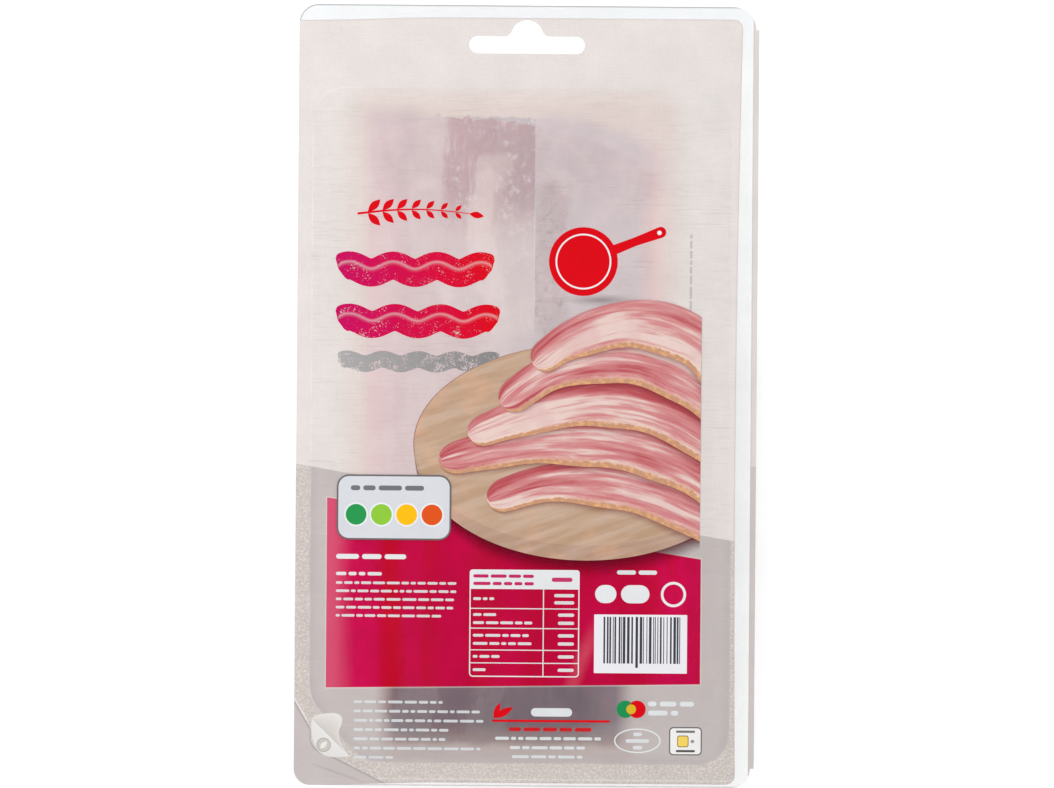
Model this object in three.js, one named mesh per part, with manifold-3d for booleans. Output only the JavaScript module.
// Bacon pack: a clear thermoformed tray with a hang slot, a heat-sealed printed lid film,
// and eight shingled bacon rashers that show through the film and the tray.
// Millimetres, +Z up. The pack lies on the tray's flat floor with its printed side up and
// its hang slot towards +Y. Origin: middle of the footprint, on the surface it rests on.
import * as THREE from "three";
import { mergeVertices } from "three/addons/utils/BufferGeometryUtils.js";
import Module from "manifold-3d";

// The pack's cut outline
const PACK_WIDTH = 142;
const PACK_LENGTH = 241;
const CORNER_RADIUS = { topLeft: 6, topRight: 7, bottomRight: 6, bottomLeft: 5 };
const CUT_JOG = { topRight: 0.9, bottomRight: 1.2 }; // corner punch and side knife don't quite meet

// The tray
const TRAY_DEPTH = 16; // floor's underside to the flange's top
const TRAY_WALL = 0.5;
const SEAL = { left: 4.5, right: 7.8, bottom: 7.2, top: 25.7 }; // width of flange on each side
const CAVITY_RADIUS = 10;
const PEEL_CHAMFER = { width: 17, length: 19.3 }; // the cavity gives way to the peel corner
const WALL_DRAFT = THREE.MathUtils.degToRad(7); // how far the side walls lean outwards
const FLOOR_BEND = 3.4; // inside radius where wall and floor meet
const LIP_BEND = 1; // inside radius where wall and flange meet

// The peel corner, where the flange steps down and the film is loose
const PEEL_STEP = 1.2;
const PEEL_ON_SIDE = 26.4; // up the left edge, from the pack's lower left corner
const PEEL_ON_END = 27.9; // along the lower edge
const PEEL_BULGE = 7.5; // how far the seal comes out towards the corner
const PEEL_SHOULDER = { far: 5, near: 2 }; // the bulge's corners, along and across from its tip

// The hang slot: a bar with round ends and a round hump
const SLOT_CENTRE = new THREE.Vector2(-0.7, 108.3);
const SLOT_WIDTH = 35.8;
const SLOT_BAR = 5.4;
const HUMP_RADIUS = 5;
const HUMP_FILLET = 2.5;

// The lid film
const FILM_THICKNESS = 0.2;
const FILM_RISE = 1.05; // over the thickest part of the stack
const FILM_OVERHANG = { left: 4, right: 3, ends: 0.5 }; // level film beyond the stack's level top

// The stack of rashers
const RASHERS = 8;
const RASHER_WIDTH = 51;
const RASHER_THICKNESS = 1.85;
const LAYER_PITCH = 2.05;
const SHINGLE_STEP = 5.3;
const STACK_LEFT = -50.2; // left edge of the top rasher
const STACK_TOP_END = 85.5;
const STACK_BOTTOM_END = -106;
const STACK_CLEARANCE = 0.1; // above the tray's floor
const TOP_END_RECEDES = 12; // the lowest rasher stops this far below the top one
const BOTTOM_END_RECEDES = 1.5;
const RASHER_CORNER = { topDroop: 2.5, lowerLeft: 12, lowerRight: 5 }; // ends are cut askew
const RASHER_SWAY = { size: 0.9, period: 31 }; // the rashers' long sides aren't quite straight
const RAGGED_EDGE = { size: 0.4, period: 13 };
const RAGGED_END = { size: 0.8, turns: 9 };
const RASHER_ROWS = 15;

const ARC_STEPS = 6;
const BEND_SHARES = [0, 0.3, 0.62, 1]; // where along a bend the tray's wall has its rings
const LOFT_OVERLAP = 1; // how far a cutter runs past what it cuts
const FLANGE_UNDERSIDE = TRAY_DEPTH - TRAY_WALL;
const WALL_HEIGHT = TRAY_DEPTH - LIP_BEND - TRAY_WALL - FLOOR_BEND; // between the bends' centres
const FLOOR_INSET =
  (FLOOR_BEND + LIP_BEND + WALL_HEIGHT * Math.sin(WALL_DRAFT)) / Math.cos(WALL_DRAFT);
const LEFT = -PACK_WIDTH / 2;
const RIGHT = PACK_WIDTH / 2;
const BOTTOM = -PACK_LENGTH / 2;
const TOP = PACK_LENGTH / 2;
const CAVITY = {
  left: LEFT + SEAL.left,
  right: RIGHT - SEAL.right,
  bottom: BOTTOM + SEAL.bottom,
  top: TOP - SEAL.top,
};

const wasm = await Module();
wasm.setup();

// Solids from three.js geometry and back

function solidFrom(geometry) {
  geometry.deleteAttribute("normal");
  geometry.deleteAttribute("uv");
  const merged = mergeVertices(geometry, 1e-4);
  return new wasm.Manifold(
    new wasm.Mesh({
      numProp: 3,
      vertProperties: new Float32Array(merged.attributes.position.array),
      triVerts: new Uint32Array(merged.index.array),
    }),
  );
}

function meshFrom(solid, name, material) {
  const made = solid.getMesh();
  const geometry = new THREE.BufferGeometry();
  geometry.setAttribute("position", new THREE.BufferAttribute(made.vertProperties, 3));
  geometry.setIndex(new THREE.BufferAttribute(made.triVerts, 1));
  const mesh = new THREE.Mesh(geometry, material);
  mesh.name = name;
  return mesh;
}

// A flat shape extruded from the height low to the height high.
function prism(shape, low, high) {
  const geometry = new THREE.ExtrudeGeometry(shape, {
    depth: high - low,
    bevelEnabled: false,
    curveSegments: ARC_STEPS,
  });
  return solidFrom(geometry.translate(0, 0, low));
}

// Outlines

// The cut outline: straight knife cuts on four sides, corners punched with their own radii.
function packOutline() {
  const { topLeft, topRight, bottomRight, bottomLeft } = CORNER_RADIUS;
  const quarter = Math.PI / 2;
  const shape = new THREE.Shape();
  shape.moveTo(LEFT + bottomLeft, BOTTOM);
  const rightLow = RIGHT - CUT_JOG.bottomRight;
  shape.lineTo(rightLow - bottomRight, BOTTOM);
  shape.absarc(rightLow - bottomRight, BOTTOM + bottomRight, bottomRight, -quarter, 0);
  shape.lineTo(RIGHT, BOTTOM + bottomRight);
  const rightHigh = RIGHT - CUT_JOG.topRight;
  shape.lineTo(RIGHT, TOP - topRight);
  shape.lineTo(rightHigh, TOP - topRight);
  shape.absarc(rightHigh - topRight, TOP - topRight, topRight, 0, quarter);
  shape.lineTo(LEFT + topLeft, TOP);
  shape.absarc(LEFT + topLeft, TOP - topLeft, topLeft, quarter, 2 * quarter);
  shape.lineTo(LEFT, BOTTOM + bottomLeft);
  shape.absarc(LEFT + bottomLeft, BOTTOM + bottomLeft, bottomLeft, 2 * quarter, 3 * quarter);
  return shape;
}

// The hang slot: the hump's circle stands on the bar's upper line, and a fillet on each side
// touches both that line and the circle.
function hangSlot() {
  const quarter = Math.PI / 2;
  const half = SLOT_BAR / 2;
  const line = SLOT_CENTRE.y + half;
  const end = SLOT_WIDTH / 2 - half;
  const reach = HUMP_RADIUS + HUMP_FILLET;
  const aside = Math.sqrt(reach * reach - HUMP_FILLET * HUMP_FILLET);
  const lean = Math.atan2(HUMP_FILLET, aside);
  const x = SLOT_CENTRE.x;
  const slot = new THREE.Shape();
  slot.moveTo(x - end, SLOT_CENTRE.y - half);
  slot.lineTo(x + end, SLOT_CENTRE.y - half);
  slot.absarc(x + end, SLOT_CENTRE.y, half, -quarter, quarter);
  slot.absarc(x + aside, line + HUMP_FILLET, HUMP_FILLET, -quarter, -2 * quarter + lean, true);
  slot.absarc(x, line, HUMP_RADIUS, lean, 2 * quarter - lean);
  slot.absarc(x - aside, line + HUMP_FILLET, HUMP_FILLET, -lean, -quarter, true);
  slot.absarc(x - end, SLOT_CENTRE.y, half, quarter, 3 * quarter);
  return slot;
}

// The loose corner: outside a line that leaves the left edge, bulges round the seal and
// comes back to the lower edge. grow moves that line towards the seal.
function peelCorner(grow) {
  const past = LOFT_OVERLAP * 2;
  const start = new THREE.Vector2(LEFT, BOTTOM + PEEL_ON_SIDE + grow);
  const finish = new THREE.Vector2(LEFT + PEEL_ON_END + grow, BOTTOM);
  const outwards = new THREE.Vector2(-1, -1).normalize();
  const middle = start.clone().lerp(finish, 0.42).addScaledVector(outwards, PEEL_BULGE - grow);
  const shape = new THREE.Shape();
  shape.moveTo(LEFT - past, BOTTOM - past);
  shape.lineTo(finish.x + past, BOTTOM - past);
  shape.lineTo(finish.x, finish.y);
  shape.splineThru([
    middle.clone().add(new THREE.Vector2(PEEL_SHOULDER.far, -PEEL_SHOULDER.near)),
    middle,
    middle.clone().add(new THREE.Vector2(-PEEL_SHOULDER.near, PEEL_SHOULDER.far)),
    start,
  ]);
  shape.lineTo(LEFT - past, start.y + past);
  return shape;
}

// Corners of the cavity's outline, anticlockwise, moved inwards by inset.
function cavityCorners(inset) {
  const c = CAVITY;
  const corners = [
    new THREE.Vector2(c.left + PEEL_CHAMFER.width, c.bottom),
    new THREE.Vector2(c.right, c.bottom),
    new THREE.Vector2(c.right, c.top),
    new THREE.Vector2(c.left, c.top),
    new THREE.Vector2(c.left, c.bottom + PEEL_CHAMFER.length),
  ];
  const sides = corners.map((from, i) => {
    const along = corners[(i + 1) % corners.length].clone().sub(from).normalize();
    const inwards = new THREE.Vector2(-along.y, along.x);
    return { point: from.clone().addScaledVector(inwards, inset), along };
  });
  return sides.map((side, i) => {
    const before = sides[(i + sides.length - 1) % sides.length];
    const gap = side.point.clone().sub(before.point);
    const share = gap.cross(side.along) / before.along.cross(side.along);
    return before.point.clone().addScaledVector(before.along, share);
  });
}

// The outline with every corner rounded by an arc, as a ring of points at height z.
function cavityRing(inset, z) {
  const radius = Math.max(CAVITY_RADIUS - inset, CAVITY_RADIUS / 2);
  const corners = cavityCorners(inset);
  return corners.flatMap((corner, i) => {
    const back = corners[(i + corners.length - 1) % corners.length].clone().sub(corner).normalize();
    const on = corners[(i + 1) % corners.length].clone().sub(corner).normalize();
    const half = Math.acos(back.dot(on)) / 2;
    const middle = back.clone().add(on).normalize();
    const centre = corner.clone().addScaledVector(middle, radius / Math.sin(half));
    const first = corner.clone().addScaledVector(back, radius / Math.tan(half)).sub(centre);
    const turn = Math.PI - 2 * half;
    return Array.from({ length: ARC_STEPS + 1 }, (_, k) => {
      const spoke = first.clone().rotateAround(new THREE.Vector2(), (turn * k) / ARC_STEPS);
      return new THREE.Vector3(centre.x + spoke.x, centre.y + spoke.y, z);
    });
  });
}

// A closed solid through a stack of rings, lowest first, with a flat fan on each end.
function loft(rings) {
  const count = rings[0].length;
  const middle = (ring) =>
    ring.reduce((sum, p) => sum.add(p), new THREE.Vector3()).divideScalar(ring.length);
  const points = [...rings.flat(), middle(rings[0]), middle(rings[rings.length - 1])];
  const lowCap = rings.length * count;
  const index = [];
  for (let k = 0; k < count; k++) {
    const next = (k + 1) % count;
    for (let r = 0; r + 1 < rings.length; r++) {
      const here = r * count;
      index.push(here + k, here + next, here + count + next);
      index.push(here + k, here + count + next, here + count + k);
    }
    const last = (rings.length - 1) * count;
    index.push(lowCap, next, k);
    index.push(lowCap + 1, last + k, last + next);
  }
  return solidFrom(new THREE.BufferGeometry().setFromPoints(points).setIndex(index));
}

// A closed solid between two height functions over a grid of columns xs and rows ys. place
// gives the point of a column and a row before it gets its height.
function sheetSolid(columns, rows, place, low, high) {
  const points = [];
  for (const height of [low, high])
    for (let j = 0; j < rows; j++)
      for (let i = 0; i < columns; i++) {
        const at = place(i, j);
        points.push(new THREE.Vector3(at.x, at.y, height(at.x, at.y, i, j)));
      }
  const id = (layer, i, j) => (layer * rows + j) * columns + i;
  const index = [];
  const quad = (a, b, c, d) => index.push(a, b, c, a, c, d);
  for (let j = 0; j + 1 < rows; j++)
    for (let i = 0; i + 1 < columns; i++) {
      quad(id(1, i, j), id(1, i + 1, j), id(1, i + 1, j + 1), id(1, i, j + 1));
      quad(id(0, i, j), id(0, i, j + 1), id(0, i + 1, j + 1), id(0, i + 1, j));
    }
  for (let i = 0; i + 1 < columns; i++) {
    quad(id(0, i, 0), id(0, i + 1, 0), id(1, i + 1, 0), id(1, i, 0));
    quad(id(0, i + 1, rows - 1), id(0, i, rows - 1), id(1, i, rows - 1), id(1, i + 1, rows - 1));
  }
  for (let j = 0; j + 1 < rows; j++) {
    quad(id(0, 0, j + 1), id(0, 0, j), id(1, 0, j), id(1, 0, j + 1));
    const end = columns - 1;
    quad(id(0, end, j), id(0, end, j + 1), id(1, end, j + 1), id(1, end, j));
  }
  return solidFrom(new THREE.BufferGeometry().setFromPoints(points).setIndex(index));
}

// The rings of the tray's side from the floor up to the flange: a bend, a straight wall that
// leans outwards, and a bend back over the lip. grow is 0 for the inside of the plastic and
// its thickness for the outside, whose bends share their centres with the inside's.
function wallRings(grow) {
  const bendCentre = TRAY_WALL + FLOOR_BEND;
  const lipCentre = TRAY_DEPTH - LIP_BEND;
  const fromBend = (angle) => {
    const radius = FLOOR_BEND + grow;
    const inset = FLOOR_INSET - radius * Math.sin(angle);
    return cavityRing(inset, bendCentre - radius * Math.cos(angle));
  };
  const fromLip = (angle) => {
    const radius = LIP_BEND - grow;
    return cavityRing(radius * Math.sin(angle), lipCentre + radius * Math.cos(angle));
  };
  const steep = Math.PI / 2 - WALL_DRAFT;
  return [
    ...BEND_SHARES.map((share) => fromBend(share * steep)),
    ...BEND_SHARES.map((share) => fromLip((1 - share) * steep)),
  ];
}

// The tray: flange, drafted walls and a flat floor, one sheet of plastic thick.
function makeTray() {
  const lip = TRAY_DEPTH + LOFT_OVERLAP;
  const inner = loft([...wallRings(0), cavityRing(0, lip)]);
  const outer = loft([...wallRings(TRAY_WALL), cavityRing(0, TRAY_DEPTH)]);
  const outline = packOutline();
  const stepLow = FLANGE_UNDERSIDE - PEEL_STEP;
  const steppedCorner = prism(peelCorner(TRAY_WALL), stepLow, TRAY_DEPTH)
    .intersect(prism(outline, stepLow, TRAY_DEPTH));
  const cornerCutter = prism(peelCorner(0), TRAY_DEPTH - PEEL_STEP, lip);
  const slotCutter = prism(hangSlot(), FLANGE_UNDERSIDE - LOFT_OVERLAP, lip);
  return prism(outline, FLANGE_UNDERSIDE, TRAY_DEPTH)
    .add(steppedCorner)
    .subtract(cornerCutter)
    .add(outer)
    .subtract(inner)
    .subtract(slotCutter);
}

// How far the film stands above the flange: taut from the seal up to the level top of the
// stack, which it rests on.
const RIDGE = {
  left: STACK_LEFT + (RASHERS - 1) * SHINGLE_STEP - FILM_OVERHANG.left,
  right: STACK_LEFT + RASHER_WIDTH + FILM_OVERHANG.right,
  bottom: STACK_BOTTOM_END - FILM_OVERHANG.ends,
  top: STACK_TOP_END + FILM_OVERHANG.ends,
};

function filmRise(x, y) {
  const climb = (from, to, at) => THREE.MathUtils.clamp((at - from) / (to - from), 0, 1);
  const across = Math.min(climb(CAVITY.left, RIDGE.left, x), climb(CAVITY.right, RIDGE.right, x));
  const along = Math.min(climb(CAVITY.bottom, RIDGE.bottom, y), climb(CAVITY.top, RIDGE.top, y));
  return FILM_RISE * Math.min(across, along);
}

function evenly(from, to, steps) {
  return Array.from({ length: steps + 1 }, (_, k) => THREE.MathUtils.lerp(from, to, k / steps));
}

// The lid film: flat on the flange, raised over the cavity, with the slot through it.
function makeLidFilm() {
  const xs = [
    ...evenly(CAVITY.left, RIDGE.left, 6),
    ...evenly(RIDGE.left, RIDGE.right, 3).slice(1),
    ...evenly(RIDGE.right, CAVITY.right, 7).slice(1),
  ];
  const ys = [CAVITY.bottom, ...evenly(RIDGE.bottom, RIDGE.top, 18), CAVITY.top];
  const place = (i, j) => new THREE.Vector2(xs[i], ys[j]);
  const level = (z) => () => z;
  const raised = (z) => (x, y) => z + filmRise(x, y);
  const filmTop = TRAY_DEPTH + FILM_THICKNESS;
  const cavityShape = new THREE.Shape(cavityRing(0, 0).map((p) => new THREE.Vector2(p.x, p.y)));
  const overCavity = prism(cavityShape, TRAY_DEPTH - LOFT_OVERLAP, filmTop + 2 * FILM_RISE);
  const half = FILM_THICKNESS / 2;
  const dome = sheetSolid(xs.length, ys.length, place, level(TRAY_DEPTH + half), raised(filmTop));
  const hollow = sheetSolid(xs.length, ys.length, place, level(TRAY_DEPTH - half), raised(TRAY_DEPTH));
  return prism(packOutline(), TRAY_DEPTH, filmTop)
    .add(dome.intersect(overCavity))
    .subtract(hollow.intersect(overCavity))
    .subtract(prism(hangSlot(), TRAY_DEPTH - LOFT_OVERLAP, filmTop + LOFT_OVERLAP));
}

// One rasher, counted from the bottom of the stack. Its left edge lies on the floor, it climbs
// over the edges of the rashers below it, and is level from where all of them begin.
function makeRasher(layer) {
  const firstStep = RASHERS - 1 - layer;
  const stepsWide = RASHER_WIDTH / SHINGLE_STEP;
  const steps = Array.from({ length: Math.ceil(stepsWide) }, (_, k) => firstStep + k);
  steps.push(firstStep + stepsWide);
  const depth = firstStep / (RASHERS - 1);
  const topEnd = STACK_TOP_END - TOP_END_RECEDES * depth ** 1.6;
  const bottomEnd = STACK_BOTTOM_END + BOTTOM_END_RECEDES * depth;
  const place = (i, j) => {
    const across = (steps[i] - firstStep) / stepsWide;
    const cut = RASHER_CORNER;
    const torn = RAGGED_END.size * Math.sin(RAGGED_END.turns * across + layer);
    const top = topEnd - cut.topDroop * (2 * across - 1) ** 4 - torn;
    const bottom = bottomEnd + cut.lowerLeft * (1 - across) ** 4 + cut.lowerRight * across ** 5;
    const y = THREE.MathUtils.lerp(bottom, top, j / (RASHER_ROWS - 1));
    const sway = RASHER_SWAY.size * Math.sin(y / RASHER_SWAY.period);
    const onEdge = i === 0 || i === steps.length - 1;
    const wave = 1 + Math.sin(y / RAGGED_EDGE.period + 2 * layer);
    const ragged = onEdge ? RAGGED_EDGE.size * wave : 0;
    return new THREE.Vector2(STACK_LEFT + steps[i] * SHINGLE_STEP + sway + ragged, y);
  };
  const floor = TRAY_WALL + STACK_CLEARANCE;
  const underside = (x, y, i) =>
    floor + LAYER_PITCH * THREE.MathUtils.clamp(steps[i] - firstStep, 0, layer);
  const upperside = (x, y, i) => underside(x, y, i) + RASHER_THICKNESS;
  return sheetSolid(steps.length, RASHER_ROWS, place, underside, upperside);
}

const clearPlastic = new THREE.MeshStandardMaterial({
  name: "clear plastic",
  color: 0xe9eef0,
  roughness: 0.12,
  metalness: 0,
  transparent: true,
  opacity: 0.3,
});
const printedFilm = new THREE.MeshStandardMaterial({
  name: "printed film",
  color: 0xe6e0dc,
  roughness: 0.35,
  metalness: 0,
});
const bacon = new THREE.MeshStandardMaterial({
  name: "bacon",
  color: 0xc97a76,
  roughness: 0.4,
  metalness: 0,
});

const pack = new THREE.Group();
pack.add(meshFrom(makeTray(), "tray", clearPlastic));
pack.add(meshFrom(makeLidFilm(), "lid_film", printedFilm));
for (let layer = 0; layer < RASHERS; layer++)
  pack.add(meshFrom(makeRasher(layer), `rasher_${layer + 1}`, bacon));

export default pack;
